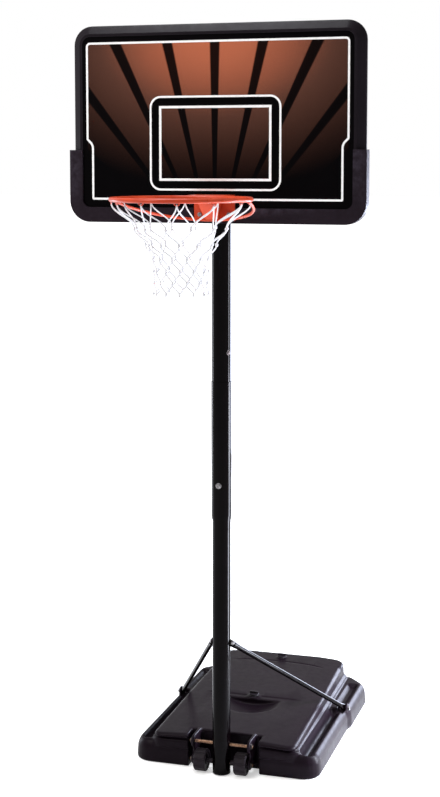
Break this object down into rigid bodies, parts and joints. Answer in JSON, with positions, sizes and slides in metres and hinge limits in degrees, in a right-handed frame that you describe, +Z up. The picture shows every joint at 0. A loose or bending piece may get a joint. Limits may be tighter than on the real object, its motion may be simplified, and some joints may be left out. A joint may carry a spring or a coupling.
{
  "type": "portable basketball hoop",
  "caption": "Free-standing basketball hoop: moulded ballast base with wheels, braced telescoping pole, padded board, orange rim and white net.",
  "frame": {"origin": "on the floor under the middle of the base", "axes": "+Z up the pole, -Y from the board towards the rim, +X to the right of a player's view"},
  "size_m": [1.1176, 1.6986, 2.809],
  "materials": {
    "tank_plastic": "blow-moulded, fine grain, satin",
    "pole_paint": "gloss black powder coat",
    "zinc": "zinc plated",
    "wheel_plastic": "moulded, satin",
    "plug_plastic": "moulded, satin",
    "seal_rubber": "matte",
    "frame_plastic": "moulded, satin",
    "pad_plastic": "moulded, fine grain",
    "board_print": "printed sheet, semi gloss",
    "rim_paint": "orange powder coat",
    "net_cord": "white braided nylon"
  },
  "bodies": {
    "base": {"base_tank": "tank_plastic", "bottom_pole": "pole_paint", "middle_pole": "pole_paint", "pole_foot": "plug_plastic", "pole_rod": "zinc", "rod_push_nuts": "zinc", "wheel_axle": "zinc", "axle_spacers": "wheel_plastic", "axle_push_nuts": "zinc", "strut_left": "pole_paint", "strut_right": "pole_paint", "strut_pole_bolt": "zinc", "strut_pole_nut": "zinc", "strut_base_bolts": "zinc", "strut_base_nuts": "zinc"},
    "upper": {"pole_sleeve": "pole_paint", "sleeve_bush": "plug_plastic", "sleeve_rivets": "pole_paint", "top_pole": "pole_paint", "top_cap": "plug_plastic", "pole_button": "zinc", "height_bolt": "zinc", "height_nut": "zinc", "board_frame": "frame_plastic", "board_panel": "board_print", "edge_pad": "pad_plastic", "lower_mount": "pole_paint", "upper_mount": "pole_paint", "mount_bolts": "zinc", "mount_nuts": "zinc", "board_screws": "zinc", "rim_bolts": "zinc", "rim_nuts": "zinc", "rim_ring": "rim_paint", "rim_bracket": "rim_paint", "rim_brace": "rim_paint", "net_hooks": "rim_paint", "net": "net_cord"},
    "left_wheel": {"wheel_left": "wheel_plastic"},
    "right_wheel": {"wheel_right": "wheel_plastic"},
    "front_cap": {"front_plug": "plug_plastic", "front_plug_seal": "seal_rubber"},
    "rear_cap": {"rear_plug": "plug_plastic", "rear_plug_seal": "seal_rubber"}
  },
  "joints": [
    {"name": "height_slide", "type": "slide", "parent": "base", "child": "upper", "axis": [0, 0, 1], "range_m": [0, 0.762]},
    {"name": "left_wheel_spin", "type": "hinge", "parent": "base", "child": "left_wheel", "pos_m": [-0.079, -0.496, 0.045], "axis": [1, 0, 0], "continuous": true},
    {"name": "right_wheel_spin", "type": "hinge", "parent": "base", "child": "right_wheel", "pos_m": [0.079, -0.496, 0.045], "axis": [1, 0, 0], "continuous": true},
    {"name": "front_plug_turn", "type": "hinge", "parent": "base", "child": "front_cap", "pos_m": [0, -0.039, 0.149], "axis": [0, 0, 1], "continuous": true},
    {"name": "rear_plug_turn", "type": "hinge", "parent": "base", "child": "rear_cap", "pos_m": [0, 0.409, 0.164], "axis": [0, 0, 1], "continuous": true}
  ]
}
